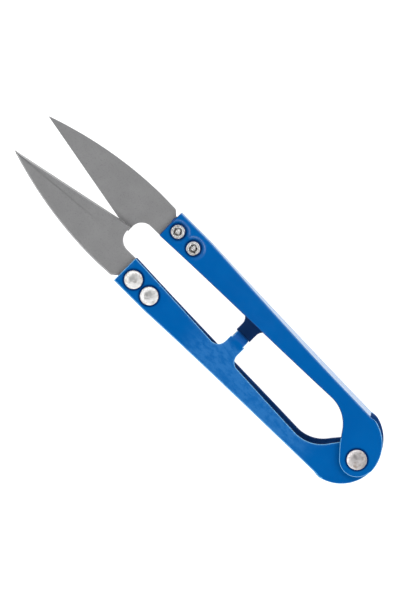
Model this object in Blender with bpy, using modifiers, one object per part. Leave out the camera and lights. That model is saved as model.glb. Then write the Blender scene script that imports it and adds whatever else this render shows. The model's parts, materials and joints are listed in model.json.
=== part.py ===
"""Thread snips: two folded sheet-metal handles, two riveted blades, a pivot rivet and a torsion spring.

The origin is the centre of the footprint, at the height of the lowest point. +X runs from the pivot to
the blade tips, +Y towards the left handle, and +Z towards the head of the pivot rivet.
Dimensions are in millimetres, measured from the pivot's axis (x, y) and from the plane in which the
blades shear (z). One half is modelled, and the right half is the same half turned over about X.
"""
import math

import bmesh
import bpy
from mathutils import Matrix, Vector

MM = 0.001
COLLECTION_NAME = "thread_snips"

# Folded sheet of a handle
SHEET = 0.8
EAR_CENTRE_X = 5.0
EAR_RADIUS = 9.1
EYE_RADIUS = 3.9
CROTCH = (5.03, -0.3)
CROTCH_ANGLE = 57.0
WINDOW_RADIUS = 8.0
WINDOW_CENTRE = (13.3, -2.32)
WALL_START_X = 4.6
WALL_START_Y = 8.78
WALL_SLOPE = 0.0155
WALL_CURVE = 0.00034
KINK_X = 56.0
HANDLE_END_X = 65.3
INNER_SLOPE = -0.041
FOLD_RADIUS = 1.0
FOLD_SEGMENTS = 4
FLAT_ANGLE = 0.002

# Heights of the two plates' outer faces, at the pivot and at the blade
UPPER_AT_PIVOT = 3.5
UPPER_AT_BLADE = 2.0
LOWER_AT_PIVOT = -4.55
LOWER_AT_BLADE = -0.9
TAPER_START_X = 14.0
TAPER_END_X = 60.0
TAPER_STEPS = 20

# Stop tab and its hook
TAB_X = 36.55
TAB_WIDTH = 4.1
TAB_FILLET = 2.2
TAB_END_Y = 0.5
HOOK_WIDTH = 3.3
HOOK_RADIUS = 1.4
HOOK_TIP_Z = -1.0
HOOK_ROOT = 0.4
HOOK_SINK = 0.02

# Blade
BLADE_THICKNESS = 1.0
SHEAR_GAP = 0.05
TANG_START_X = 55.2
TANG_OUTER_Y = 9.1
TANG_INSET = 0.1
SHOULDER_X = 65.5
BACK_START = (66.6, 10.17)
BACK_CREST = (71.0, 10.31)
BACK_CURVE = 0.0057
TIP = (100.9, 5.21)
HEEL = (70.8, -0.64)
NOTCH_RADIUS = 2.9
EDGE_BEVEL = 0.4
TIP_BACK = 1.2
BLADE_SET = 0.8

# Rivets and holes
RIVET_XS = {"rear": 57.75, "front": 62.66}
RIVET_Y = 7.06
RIVET_SHANK = 1.1
RIVET_HOLE = 1.4
RIVET_HEAD = 2.17
RIVET_HEAD_HEIGHT = 0.85
RIVET_TAIL = 1.65
RIVET_TAIL_HEIGHT = 0.5
RIVET_BORE = 0.75
RIVET_BORE_DEPTH = 1.2
PIVOT_SHANK = 1.5
PIVOT_HOLE = 1.58
PIVOT_HEAD = 2.3
PIVOT_HEAD_HEIGHT = 0.75
PIVOT_TAIL = 2.1
PIVOT_TAIL_HEIGHT = 0.65
HEAD_GAP = 0.1
ROUND_STEPS = 32

# Torsion spring
WIRE_RADIUS = 0.4
COIL_RADIUS = 2.35
COIL_HALF_HEIGHT = 2.1
COIL_TURNS = 4
COIL_START_ANGLE = 115.0
COIL_POINTS_PER_TURN = 20
LEG_END = (14.0, 7.1)

# Places of the pivot in the part's own frame
PIVOT_X = -(TIP[0] + EAR_CENTRE_X - EAR_RADIUS) / 2
SHEAR_Z = HEAD_GAP + PIVOT_TAIL_HEIGHT - LOWER_AT_PIVOT


def arc(centre, radius, start, end, steps):
    """Points on an arc, with its angles in degrees."""
    points = []
    for step in range(steps + 1):
        angle = math.radians(start + (end - start) * step / steps)
        points.append((centre[0] + radius * math.cos(angle), centre[1] + radius * math.sin(angle)))
    return points


def wall_y(x):
    """Outer edge of a handle: it widens in a shallow curve up to the kink, then runs nearly straight."""
    run = min(x, KINK_X) - WALL_START_X
    return WALL_START_Y + WALL_SLOPE * run + WALL_CURVE * run * run


def window_y(x):
    """Straight inner edge of a handle, along the window."""
    turn = math.atan(INNER_SLOPE)
    start_x = WINDOW_CENTRE[0] - WINDOW_RADIUS * math.sin(turn)
    start_y = WINDOW_CENTRE[1] + WINDOW_RADIUS * math.cos(turn)
    return start_y + INNER_SLOPE * (x - start_x)


def taper(x):
    """0 at the pivot end and 1 at the blade end, with a smooth slope between them."""
    share = (x - TAPER_START_X) / (TAPER_END_X - TAPER_START_X)
    share = min(max(share, 0.0), 1.0)
    return share * share * (3.0 - 2.0 * share)


def upper_z(x):
    """Outer face of the plate that faces away from the other blade."""
    return UPPER_AT_PIVOT + (UPPER_AT_BLADE - UPPER_AT_PIVOT) * taper(x)


def lower_z(x):
    """Outer face of the other plate."""
    return LOWER_AT_PIVOT + (LOWER_AT_BLADE - LOWER_AT_PIVOT) * taper(x)


def spaced(start, end, steps):
    """Evenly spaced values, both ends included."""
    return [start + (end - start) * step / steps for step in range(steps + 1)]


def remove_old_objects():
    for old in list(bpy.data.objects):
        bpy.data.objects.remove(old, do_unlink=True)


def new_collection(name):
    collection = bpy.data.collections.new(name)
    bpy.context.scene.collection.children.link(collection)
    return collection


def paint(name, colour, roughness, metallic):
    """A Principled material."""
    material = bpy.data.materials.new(name)
    material.use_nodes = True
    shader = material.node_tree.nodes["Principled BSDF"]
    shader.inputs["Base Color"].default_value = (*colour, 1.0)
    shader.inputs["Roughness"].default_value = roughness
    shader.inputs["Metallic"].default_value = metallic
    return material


def add_object(name, data, collection):
    made = bpy.data.objects.new(name, data)
    collection.objects.link(made)
    return made


def prism(name, outline, low, high, collection):
    """A flat outline in x, y, extruded between two heights, as a mesh."""
    curve = bpy.data.curves.new(name, "CURVE")
    curve.dimensions = "2D"
    curve.fill_mode = "BOTH"
    curve.extrude = (high - low) / 2 * MM
    spline = curve.splines.new("POLY")
    spline.points.add(len(outline) - 1)
    for point, (x, y) in zip(spline.points, outline):
        point.co = (x * MM, y * MM, 0.0, 1.0)
    spline.use_cyclic_u = True
    source = add_object(name + "_outline", curve, collection)
    source.location.z = (high + low) / 2 * MM
    bpy.context.view_layer.update()
    evaluated = source.evaluated_get(bpy.context.evaluated_depsgraph_get())
    mesh = bpy.data.meshes.new_from_object(evaluated)
    mesh.transform(source.matrix_world)
    bpy.data.objects.remove(source, do_unlink=True)
    weld(mesh)
    mesh.name = name
    return add_object(name, mesh, collection)


def weld(mesh):
    """Joins the caps of an extruded outline to its sides, with all faces pointing out."""
    shape = bmesh.new()
    shape.from_mesh(mesh)
    bmesh.ops.remove_doubles(shape, verts=shape.verts, dist=0.001 * MM)
    bmesh.ops.recalc_face_normals(shape, faces=shape.faces)
    shape.to_mesh(mesh)
    shape.free()


def stand_up(made):
    """Turns a prism of an x, z outline upright, so that its extrusion runs along Y."""
    made.data.transform(Matrix.Rotation(math.radians(90.0), 4, "X"))


def cylinder(name, x, y, radius, low, high, collection):
    last = 360.0 - 360.0 / ROUND_STEPS
    return prism(name, arc((x, y), radius, 0.0, last, ROUND_STEPS - 1), low, high, collection)


def boolean(target, other, operation):
    """Applies an exact Boolean to the target's mesh, and hides the other shape."""
    modifier = target.modifiers.new(operation.lower(), "BOOLEAN")
    modifier.operation = operation
    modifier.object = other
    bpy.context.view_layer.update()
    evaluated = target.evaluated_get(bpy.context.evaluated_depsgraph_get())
    mesh = bpy.data.meshes.new_from_object(evaluated)
    target.modifiers.clear()
    target.data = mesh
    weld(mesh)
    other.hide_render = True
    other.display_type = "WIRE"


def handle_outline():
    """Plan of a handle with its tab: ear, eye round the pivot, window edge, tab, blade end and wall."""
    eye_end = math.degrees(math.acos(EYE_RADIUS / math.hypot(*CROTCH)) - math.atan2(CROTCH[1], CROTCH[0]))
    window_start = 90.0 + math.degrees(math.atan(INNER_SLOPE))
    near = TAB_X - TAB_WIDTH / 2
    far = TAB_X + TAB_WIDTH / 2
    near_centre = (near - TAB_FILLET, window_y(near - TAB_FILLET) - TAB_FILLET)
    far_centre = (far + TAB_FILLET, window_y(far + TAB_FILLET) - TAB_FILLET)
    points = arc((EAR_CENTRE_X, 0.0), EAR_RADIUS, 96.0, 180.0, 20)
    points += arc((0.0, 0.0), EYE_RADIUS, 186.0, 360.0 - eye_end, 18)
    points.append(CROTCH)
    points += arc(WINDOW_CENTRE, WINDOW_RADIUS, 90.0 + CROTCH_ANGLE, window_start, 12)
    points += arc(near_centre, TAB_FILLET, 90.0, 0.0, 6)
    points += [(near, TAB_END_Y), (far, TAB_END_Y)]
    points += arc(far_centre, TAB_FILLET, 180.0, 90.0, 6)
    points += [(HANDLE_END_X, window_y(HANDLE_END_X)), (HANDLE_END_X, wall_y(HANDLE_END_X))]
    points += [(x, wall_y(x)) for x in spaced(KINK_X, WALL_START_X + 0.8, 10)]
    return points


def side_outline(inset):
    """Side view of a handle, in x and z, drawn in from its outer faces by the inset."""
    xs = [-20.0, TAPER_START_X] + spaced(TAPER_START_X, TAPER_END_X, TAPER_STEPS)[1:] + [80.0]
    top = [(x, upper_z(x) - inset) for x in xs]
    bottom = [(x, lower_z(x) + inset) for x in reversed(xs)]
    return top + bottom


def hollow_outline():
    """Plan of the space inside a handle: open along the window and all round the ears."""
    wall = [(x, wall_y(x) - SHEET) for x in spaced(WALL_START_X, KINK_X, 10)]
    return [(-15.0, 15.0), (WALL_START_X, 15.0)] + wall + [
        (75.0, wall_y(75.0) - SHEET), (75.0, -10.0), (-15.0, -10.0)]


def hook_outline():
    """The hook's bent strip, in y and z, with its root inside the tab."""
    top = upper_z(TAB_X) - HOOK_SINK
    inner = HOOK_RADIUS - SHEET
    centre = (TAB_END_Y, upper_z(TAB_X) - HOOK_RADIUS)
    points = [(TAB_END_Y + HOOK_ROOT, top)]
    points += arc(centre, HOOK_RADIUS - HOOK_SINK, 90.0, 180.0, 8)
    points += [(TAB_END_Y - HOOK_RADIUS + HOOK_SINK, HOOK_TIP_Z), (TAB_END_Y - inner - HOOK_SINK, HOOK_TIP_Z)]
    points += arc(centre, inner + HOOK_SINK, 180.0, 90.0, 5)
    points.append((TAB_END_Y + HOOK_ROOT, centre[1] + inner + HOOK_SINK))
    return points


def round_folds(made):
    """Rounds the two long folds between the plates and the wall."""
    shape = bmesh.new()
    shape.from_mesh(made.data)
    bmesh.ops.dissolve_limit(shape, angle_limit=FLAT_ANGLE, verts=shape.verts, edges=shape.edges)
    folds = []
    for edge in shape.edges:
        if len(edge.link_faces) != 2:
            continue
        upright = [abs(face.normal.z) < 0.5 for face in edge.link_faces]
        middle = (edge.verts[0].co + edge.verts[1].co) / 2 / MM
        if upright[0] != upright[1] and middle.x > WALL_START_X and middle.y > wall_y(middle.x) - 0.05:
            folds.append(edge)
    bmesh.ops.bevel(shape, geom=folds, offset=FOLD_RADIUS * MM, segments=FOLD_SEGMENTS, profile=0.5,
                    affect="EDGES", clamp_overlap=False)
    shape.to_mesh(made.data)
    shape.free()


def make_handle_mesh(cutters):
    """One folded handle: a shell cut hollow, with the tab left on its upper plate only."""
    body = prism("handle_body", handle_outline(), -8.0, 8.0, cutters)
    side = prism("handle_side", side_outline(0.0), -15.0, 15.0, cutters)
    stand_up(side)
    boolean(body, side, "INTERSECT")
    round_folds(body)
    hollow_side = prism("hollow_side", side_outline(SHEET), -20.0, 20.0, cutters)
    stand_up(hollow_side)
    hollow = prism("hollow", hollow_outline(), -9.0, 9.0, cutters)
    boolean(hollow, hollow_side, "INTERSECT")
    boolean(body, hollow, "DIFFERENCE")
    near = TAB_X - TAB_WIDTH / 2 - TAB_FILLET - 0.5
    far = TAB_X + TAB_WIDTH / 2 + TAB_FILLET + 0.5
    under_tab = [(near, window_y(near)), (far, window_y(far)), (far, -5.0), (near, -5.0)]
    tab_cutter = prism("under_tab", under_tab, -8.0, 0.0, cutters)
    boolean(body, tab_cutter, "DIFFERENCE")
    hook = prism("hook", hook_outline(), -HOOK_WIDTH / 2, HOOK_WIDTH / 2, cutters)
    hook.data.transform(Matrix(((0, 0, 1, TAB_X * MM), (1, 0, 0, 0), (0, 1, 0, 0), (0, 0, 0, 1))))
    for vertex in hook.data.vertices:
        vertex.co.z += (upper_z(vertex.co.x / MM) - upper_z(TAB_X)) * MM
    boolean(body, hook, "UNION")
    for x in RIVET_XS.values():
        boolean(body, cylinder("rivet_hole", x, RIVET_Y, RIVET_HOLE, -8.0, 8.0, cutters), "DIFFERENCE")
    boolean(body, cylinder("pivot_hole", 0.0, 0.0, PIVOT_HOLE, -8.0, 8.0, cutters), "DIFFERENCE")
    mesh = body.data
    bpy.data.objects.remove(body, do_unlink=True)
    mesh.name = "handle"
    return mesh


def edge_y(x):
    """The straight cutting edge, from the heel to the tip."""
    return HEEL[1] + (TIP[1] - HEEL[1]) * (x - HEEL[0]) / (TIP[0] - HEEL[0])


def blade_outline():
    """Plan of a blade: tang, notch, heel, cutting edge, and a back that is a parabola from its crest."""
    notch_centre = (HEEL[0] - NOTCH_RADIUS, window_y(HANDLE_END_X) + TANG_INSET - NOTCH_RADIUS)
    points = [(TANG_START_X, TANG_OUTER_Y), (TANG_START_X, window_y(TANG_START_X) + TANG_INSET)]
    points.append((HANDLE_END_X, window_y(HANDLE_END_X) + TANG_INSET))
    points += arc(notch_centre, NOTCH_RADIUS, 90.0, 0.0, 10)
    points += [HEEL, TIP]
    for x in spaced(TIP[0], BACK_CREST[0], 16)[1:]:
        points.append((x, BACK_CREST[1] - BACK_CURVE * (x - BACK_CREST[0]) ** 2))
    points += [BACK_START, (SHOULDER_X, TANG_OUTER_Y)]
    return points


def make_blade_mesh(cutters):
    """One blade, flat on its shearing side and ground back along the edge on its other side."""
    top = SHEAR_GAP + BLADE_THICKNESS
    blade = prism("blade_body", blade_outline(), SHEAR_GAP, top, cutters)
    along = Vector((TIP[0] - HEEL[0], TIP[1] - HEEL[1])).normalized()
    inward = Vector((-along.y, along.x)) * EDGE_BEVEL
    for vertex in blade.data.vertices:
        x, y, z = vertex.co / MM
        if z < top - 0.1 or x < HEEL[0] - 0.1 or abs(y - edge_y(x)) > 0.01:
            continue
        shift = inward - along * TIP_BACK if x > TIP[0] - 0.1 else inward
        vertex.co += shift.to_3d() * MM
    for x in RIVET_XS.values():
        boolean(blade, cylinder("tang_hole", x, RIVET_Y, RIVET_HOLE, -8.0, 8.0, cutters), "DIFFERENCE")
    mesh = blade.data
    bpy.data.objects.remove(blade, do_unlink=True)
    mesh.name = "blade"
    return mesh


def turned(name, profile, collection):
    """A turned piece from the profile of its outer side, run from top to bottom."""
    mesh = bpy.data.meshes.new(name)
    points = [(r * MM, 0.0, z * MM) for r, z in profile]
    mesh.from_pydata(points, [(i, i + 1) for i in range(len(points) - 1)], [])
    made = add_object(name, mesh, collection)
    screw = made.modifiers.new("turn", "SCREW")
    screw.steps = ROUND_STEPS
    screw.render_steps = ROUND_STEPS
    screw.use_merge_vertices = True
    screw.merge_threshold = 0.001 * MM
    return made


def dome(radius, height, base_z, steps):
    """Profile of a domed head, from the top of its axis down to its rim."""
    rim = 0.25 * height
    points = []
    for step in range(steps + 1):
        angle = math.radians(90.0 * step / steps)
        points.append((radius * math.sin(angle), base_z + rim + (height - rim) * math.cos(angle)))
    return points + [(radius, base_z)]


def blade_rivet(name, x, collection):
    """Semi-tubular rivet: domed head on the upper plate, clinched tubular tail under the lower one."""
    head_base = UPPER_AT_BLADE + HEAD_GAP
    tail_base = LOWER_AT_BLADE - HEAD_GAP
    tail_end = tail_base - RIVET_TAIL_HEIGHT
    profile = dome(RIVET_HEAD, RIVET_HEAD_HEIGHT, head_base, 6)
    profile += [(RIVET_SHANK, head_base), (RIVET_SHANK, tail_base), (RIVET_TAIL, tail_base)]
    profile += [(RIVET_TAIL, tail_base - 0.25), (RIVET_TAIL - 0.3, tail_end), (RIVET_BORE + 0.25, tail_end)]
    profile += [(RIVET_BORE, tail_end + 0.3), (RIVET_BORE, tail_end + RIVET_BORE_DEPTH)]
    profile.append((0.0, tail_end + RIVET_BORE_DEPTH))
    made = turned(name, profile, collection)
    made.location = (x * MM, RIVET_Y * MM, 0.0)
    return made


def pivot_rivet(collection):
    """Rivet through the four ears, with a low domed head above and a formed head below."""
    head_base = HEAD_GAP - LOWER_AT_PIVOT
    tail_base = LOWER_AT_PIVOT - HEAD_GAP
    tail_end = tail_base - PIVOT_TAIL_HEIGHT
    profile = dome(PIVOT_HEAD, PIVOT_HEAD_HEIGHT, head_base, 6)
    profile += [(PIVOT_SHANK, head_base), (PIVOT_SHANK, tail_base), (PIVOT_TAIL, tail_base)]
    profile += [(PIVOT_TAIL, tail_base - 0.3), (PIVOT_TAIL - 0.5, tail_end), (0.0, tail_end)]
    return turned("pivot_rivet", profile, collection)


def torsion_spring(collection):
    """Wire coil round the pivot, with one leg into each handle."""
    start = math.radians(COIL_START_ANGLE)
    sweep = 2.0 * (math.pi - start) + 2.0 * math.pi * COIL_TURNS
    steps = int(COIL_POINTS_PER_TURN * sweep / (2.0 * math.pi))
    points = [(LEG_END[0], LEG_END[1], COIL_HALF_HEIGHT)]
    for step in range(steps + 1):
        angle = start + sweep * step / steps
        height = COIL_HALF_HEIGHT * (1.0 - 2.0 * step / steps)
        points.append((COIL_RADIUS * math.cos(angle), COIL_RADIUS * math.sin(angle), height))
    points.append((LEG_END[0], -LEG_END[1], -COIL_HALF_HEIGHT))
    curve = bpy.data.curves.new("torsion_spring", "CURVE")
    curve.dimensions = "3D"
    curve.bevel_depth = WIRE_RADIUS * MM
    curve.bevel_resolution = 2
    curve.use_fill_caps = True
    spline = curve.splines.new("POLY")
    spline.points.add(len(points) - 1)
    for point, (x, y, z) in zip(spline.points, points):
        point.co = (x * MM, y * MM, z * MM, 1.0)
    return add_object("torsion_spring", curve, collection)


def half_frame(name, turn, collection):
    """An empty on the pivot's axis that carries one half."""
    empty = bpy.data.objects.new(name, None)
    collection.objects.link(empty)
    empty.location = (PIVOT_X * MM, 0.0, SHEAR_Z * MM)
    empty.rotation_euler = (turn, 0.0, 0.0)
    return empty


def set_blade(blade, degrees):
    """Turns a blade about the middle of its two rivets, by the small angle it was riveted at."""
    middle = Vector((sum(RIVET_XS.values()) / 2 * MM, RIVET_Y * MM, 0.0))
    turn = Matrix.Rotation(math.radians(degrees), 4, "Z")
    blade.matrix_basis = Matrix.Translation(middle) @ turn @ Matrix.Translation(-middle)


def main():
    remove_old_objects()
    parts = new_collection(COLLECTION_NAME)
    cutters = new_collection("cutters")
    blue = paint("blue_paint", (0.005, 0.13, 0.45), 0.3, 0.0)
    steel = paint("blade_steel", (0.26, 0.26, 0.27), 0.45, 1.0)
    nickel = paint("nickel_plate", (0.62, 0.6, 0.57), 0.22, 1.0)
    wire = paint("spring_wire", (0.4, 0.4, 0.42), 0.35, 1.0)
    handle_mesh = make_handle_mesh(cutters)
    blade_mesh = make_blade_mesh(cutters)
    handle_mesh.materials.clear()
    handle_mesh.materials.append(blue)
    blade_mesh.materials.clear()
    blade_mesh.materials.append(steel)
    frames = {
        "left": half_frame("left_half", 0.0, parts),
        "right": half_frame("right_half", math.pi, parts),
    }
    blade_angles = {"left": BLADE_SET, "right": -BLADE_SET}
    for side, frame in frames.items():
        handle = add_object(side + "_handle", handle_mesh, parts)
        handle.parent = frame
        blade = add_object(side + "_blade", blade_mesh, parts)
        blade.parent = frame
        set_blade(blade, blade_angles[side])
        for place, x in RIVET_XS.items():
            rivet = blade_rivet(side + "_blade_rivet_" + place, x, parts)
            rivet.data.materials.append(nickel)
            rivet.parent = frame
    pivot = pivot_rivet(parts)
    pivot.data.materials.append(nickel)
    pivot.parent = frames["left"]
    spring = torsion_spring(parts)
    spring.data.materials.append(wire)
    spring.parent = frames["left"]


main()
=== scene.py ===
"""Looks of the thread snips: fine folded handles, ground blades, dented rivets and the coiled spring.

Lengths are in millimetres until the last step of each piece. A half is made in its own frame, with x from
the pivot's axis to the tip, y outwards from the centre line and z from the shearing plane; place() puts
it in the row frame as the left half, or turned over about x as the right half.
"""
import json
import math

import bmesh
import bpy
import numpy as np
from mathutils import Matrix, Vector, geometry, noise


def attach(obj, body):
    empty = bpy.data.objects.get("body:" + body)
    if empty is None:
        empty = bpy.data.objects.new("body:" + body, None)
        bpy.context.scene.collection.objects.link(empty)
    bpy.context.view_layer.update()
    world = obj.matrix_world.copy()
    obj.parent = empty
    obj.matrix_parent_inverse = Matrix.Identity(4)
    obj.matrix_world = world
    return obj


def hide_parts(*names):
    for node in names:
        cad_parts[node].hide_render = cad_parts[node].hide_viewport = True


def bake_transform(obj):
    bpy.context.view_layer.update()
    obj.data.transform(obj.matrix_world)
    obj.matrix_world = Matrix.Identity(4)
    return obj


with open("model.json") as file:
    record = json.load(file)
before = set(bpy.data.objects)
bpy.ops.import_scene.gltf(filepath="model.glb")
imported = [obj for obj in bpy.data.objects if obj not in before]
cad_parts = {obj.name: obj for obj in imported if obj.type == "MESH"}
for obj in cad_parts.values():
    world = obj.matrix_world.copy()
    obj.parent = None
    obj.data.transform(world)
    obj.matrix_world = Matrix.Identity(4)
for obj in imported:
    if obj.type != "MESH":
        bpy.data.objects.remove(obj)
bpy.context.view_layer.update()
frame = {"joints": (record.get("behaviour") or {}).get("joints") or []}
PIVOT = Vector(frame["joints"][0]["pos_m"])
MM = 0.001

# Folded sheet
SHEET = 0.8
EAR_CENTRE_X = 5.0
EAR_RADIUS = 9.1
EYE_RADIUS = 3.9
CROTCH = (5.03, -0.3)
CROTCH_LEGS = ((2.71, -2.66), (6.59, 2.1))
CROTCH_CORNER = 0.3
CROTCH_ANGLE = 57.0
WINDOW_RADIUS = 8.0
WINDOW_CENTRE = (13.4, -2.32)
WALL_START_X = 4.6
RUN_OUT_X = 2.9
RUN_OUT_STEP = 0.3
WALL_START_Y = 8.78
WALL_SLOPE = 0.0155
WALL_CURVE = 0.00034
KINK_X = 56.0
HANDLE_END_X = 65.28
INNER_SLOPE = -0.041
FOLD_RADIUS = 0.36
FOLD_STEPS = 6
FOLD_FADE = 1.2
WALL_ROWS = 8
END_CORNER = 0.35
LOWER_REACH = {"left": 0.16, "right": 0.0}
REACH_END_X = 31.0

# Heights of the plates' outer faces
UPPER_AT_PIVOT = 3.5
UPPER_AT_BLADE = 2.0
LOWER_AT_PIVOT = -4.55
LOWER_AT_BLADE = -0.9
TAPER_START_X = 14.0
TAPER_END_X = 60.0

# Stop tab and hook
TAB_X = 36.55
TAB_WIDTH = 4.1
TAB_FILLET = 2.2
TAB_END_Y = 0.5
HOOK_WIDTH = 3.4
HOOK_RADIUS = 1.4
HOOK_TIP_Z = -0.95
HOOK_CORNER = 0.5

# Small unevenness of the pressing
RIM_SPACING = 0.4
GRID = 0.55
FINE_GRID = 0.3
FINE_RADIUS = 3.7
RIM_ROUNDING = 0.15
RIM_STEPS = 3
EDGE_DROP = {"upper": 0.14, "lower": 0.05}
EDGE_DROP_WIDTH = 0.85
WAVE_HEIGHT = 0.035
WAVE_SIZE = (11.0, 4.5)
CLINCH_DEPTH = 0.2
CLINCH_RADIUS = 2.75
CLINCH_STEP = 0.4
HEAD_SINK = 0.06
HEAD_SINK_RADIUS = 2.5
HEAD_SINK_STEP = 0.8

# Painted sheen: a lighter, mottled stretch of the left handle standing in for the reflection of a soft light
SHEEN_START_X = 6.0
SHEEN_END_X = 48.0
SHEEN_FADE = 9.0

# Paint: painted shadow in dark rings where it meets the rivet heads, and painted light on the paler walls
PIVOT_SHADOW_RADIUS = 2.4
RIVET_SHADOW_RADIUS = {"left": 2.27, "right": 1.75}
RIVET_SHADOW_FADE = 0.45
RIVET_SHADOW_COLOUR = (0.0, 0.025, 0.12)
# painted light: the walls' paler blue stands in for the light they catch from the side
WALL_LIGHT_COLOUR = (0.003, 0.14, 0.38)

# Rivets
RIVETS = {
    "left": {"rear": (57.35, 7.3), "front": (62.3, 7.22)},
    "right": {"rear": (57.9, 6.88), "front": (62.85, 7.08)},
}
RIVET_HOLE = 1.3
RIVET_SHANK = 1.1
RIVET_HEAD = {"radius": 2.06, "height": 0.84, "rim": 0.26}
PIVOT_HOLE = 1.58
PIVOT_SHANK = 1.5
PIVOT_HEAD = {"radius": 2.22, "height": 0.71, "rim": 0.32}
HEAD_GAP = 0.1
SHARP_ANGLE = 50.0
CROWN_LEAN = 0.15
RIVET_STEPS = 72
TAIL_LENGTH = 0.5
TAIL_LIP = 1.3
BORE_EDGE = 0.65

# Material slots of the pieces with more than one material
OUTSIDE, INSIDE, RIM, BEND = range(4)
# the third rivet slot is painted shade in the tails' bores
PLATED, WORN, BORE_SHADE = range(3)

# Blade
BLADE_THICKNESS = 1.0
SHEAR_GAP = 0.05
TANG_START_X = 55.2
TANG_OUTER_Y = 9.1
TANG_INSET = 0.1
TANG_SINK = 0.45
SHOULDER_X = 65.5
BACK_START = (66.6, 10.17)
BACK_CREST = (71.0, 10.31)
BACK_CURVE = 0.00563
TIP = (100.9, 5.27)
HEEL = (70.8, -0.64)
NOTCH_RADIUS = 2.9
EDGE_BEVEL = 0.24
EDGE_LAND = 0.06
BACK_BEVEL = 0.32
BACK_BEVEL_DEPTH = 0.22
SMALL_BEVEL = 0.06
GROUND_ANGLE = 18.0
BLADE_SET = {"left": 0.8, "right": -0.8}
BLADE_CENTRE = (60.2, 7.06)

# Spring
WIRE_RADIUS = 0.4
COIL_RADIUS = 2.35
COIL_HALF_HEIGHT = 2.1
COIL_TURNS = 4
STEPS_PER_TURN = 48
LEG_STEPS = 12
COIL_START_ANGLE = 115.0
LEG_END = (14.0, 7.1)


# ---------------------------------------------------------------- outlines

def arc(centre, radius, start, end, spacing=RIM_SPACING):
    """Points on an arc, angles in degrees, no further apart than the spacing."""
    steps = max(3, math.ceil(abs(math.radians(end - start)) * radius / spacing))
    points = []
    for step in range(steps + 1):
        angle = math.radians(start + (end - start) * step / steps)
        points.append((centre[0] + radius * math.cos(angle), centre[1] + radius * math.sin(angle)))
    return points


def spaced(start, end, step):
    """Evenly spaced values from start to end, both included."""
    count = max(1, round(abs(end - start) / step))
    return [start + (end - start) * i / count for i in range(count + 1)]


def wall_y(x):
    """The outer wall's distance from the centre line, bowed up to the kink and parallel to it past that."""
    run = min(x, KINK_X) - WALL_START_X
    return WALL_START_Y + WALL_SLOPE * run + WALL_CURVE * run * run


def fold_y(x):
    """Where the flat plate ends and the fold begins."""
    return wall_y(x) - FOLD_RADIUS


def fold_profile(x):
    """Half a fold, as (y, depth below the plate) from the flat plate outwards.

    In front of the wall it turns down by a right angle; over the run-out it opens into the flat ear.
    """
    share = min(max((WALL_START_X - x) / (WALL_START_X - RUN_OUT_X), 0.0), 1.0)
    open_length = math.sqrt(EAR_RADIUS ** 2 - (RUN_OUT_X - EAR_CENTRE_X) ** 2) - fold_y(RUN_OUT_X)
    length = FOLD_RADIUS * math.pi / 2 * (1 - share) + open_length * share
    turn = math.pi / 2 * (1 - share) ** 2
    points = []
    for step in range(FOLD_STEPS + 1):
        run = length * step / FOLD_STEPS
        if turn < 1e-4:
            points.append((fold_y(x) + run, 0.0))
            continue
        radius = length / turn
        points.append((fold_y(x) + radius * math.sin(run / radius), radius * (1 - math.cos(run / radius))))
    return points


def window_y(x):
    """The window's straight edge, tangent to its round end."""
    turn = math.atan(INNER_SLOPE)
    start_x = WINDOW_CENTRE[0] - WINDOW_RADIUS * math.sin(turn)
    start_y = WINDOW_CENTRE[1] + WINDOW_RADIUS * math.cos(turn)
    return start_y + INNER_SLOPE * (x - start_x)


def taper(x):
    """0 at the pivot to 1 at the blade end, the way that the plates come closer."""
    share = min(max((x - TAPER_START_X) / (TAPER_END_X - TAPER_START_X), 0.0), 1.0)
    return share * share * (3.0 - 2.0 * share)


def upper_z(x):
    """Height of the upper plate's outer face."""
    return UPPER_AT_PIVOT + (UPPER_AT_BLADE - UPPER_AT_PIVOT) * taper(x)


def lower_z(x):
    """Height of the lower plate's outer face."""
    return LOWER_AT_PIVOT + (LOWER_AT_BLADE - LOWER_AT_PIVOT) * taper(x)


def fold_stations():
    """Places along the fold, finer over the run-out."""
    return spaced(RUN_OUT_X, WALL_START_X, RUN_OUT_STEP)[:-1] + spaced(WALL_START_X, HANDLE_END_X, GRID)


def rounded_corner(corner, before, after, radius):
    """A round corner: the arc between two straight edges, as points."""
    corner, before, after = Vector(corner), Vector(before), Vector(after)
    one, two = (before - corner).normalized(), (after - corner).normalized()
    points = []
    for step in range(5):
        share = step / 4
        start, end = corner + one * radius, corner + two * radius
        point = start * (1 - share) ** 2 + corner * 2 * share * (1 - share) + end * share ** 2
        points.append((point.x, point.y))
    return points


def densify(points):
    """Adds points along a closed outline so that none are further apart than the rim's spacing."""
    dense = []
    for index, start in enumerate(points):
        end = points[(index + 1) % len(points)]
        length = math.hypot(end[0] - start[0], end[1] - start[1])
        steps = max(1, math.ceil(length / RIM_SPACING - 0.01))
        for step in range(steps):
            share = step / steps
            dense.append((start[0] + (end[0] - start[0]) * share, start[1] + (end[1] - start[1]) * share))
    return dense


def window_edge(with_tab, reach):
    """The cut edge from the crotch to the blade end, with or without the tab and its unbent hook.

    Reach draws the plate's edge further into the window at its round end, and runs out before the tab.
    """
    tangent = 90.0 + math.degrees(math.atan(INNER_SLOPE))
    points = rounded_corner(CROTCH, *CROTCH_LEGS, CROTCH_CORNER)
    points += arc(WINDOW_CENTRE, WINDOW_RADIUS - reach, 90.0 + CROTCH_ANGLE, tangent)
    if with_tab:
        near, far = TAB_X - TAB_WIDTH / 2, TAB_X + TAB_WIDTH / 2
        near_y, far_y = window_y(near - TAB_FILLET), window_y(far + TAB_FILLET)
        points += arc((near - TAB_FILLET, near_y - TAB_FILLET), TAB_FILLET, 90.0, 0.0)
        points += hook_pattern()
        points += arc((far + TAB_FILLET, far_y - TAB_FILLET), TAB_FILLET, 180.0, 90.0)
    else:
        points.append((REACH_END_X, window_y(REACH_END_X)))
    end = (HANDLE_END_X, window_y(HANDLE_END_X))
    return points + rounded_corner(end, (HANDLE_END_X - 2, end[1] + 0.07), (end[0], end[1] + 2), END_CORNER)


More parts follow.
